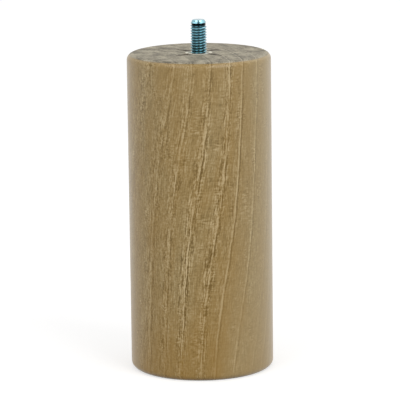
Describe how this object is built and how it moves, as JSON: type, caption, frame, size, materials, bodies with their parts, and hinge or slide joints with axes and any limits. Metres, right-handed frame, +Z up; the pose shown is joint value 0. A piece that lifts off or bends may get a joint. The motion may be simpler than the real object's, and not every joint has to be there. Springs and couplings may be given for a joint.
{
  "type": "cylindrical bed leg",
  "caption": "Plain turned wooden bed leg with rounded edges and a threaded steel stud standing out of its top for screwing into a bed frame.",
  "frame": {"origin": "centre of the foot, on the plane that the leg stands on", "axes": "+Z up along the leg's axis, out through the stud; the front of the picture faces -Y"},
  "size_m": [0.0675, 0.0674, 0.1655],
  "materials": {
    "leg": "satin clear lacquer over beech",
    "hanger_bolt": "blue-passivated zinc plate"
  },
  "bodies": {
    "root": {"leg": "leg", "hanger_bolt": "hanger_bolt"}
  },
  "joints": []
}
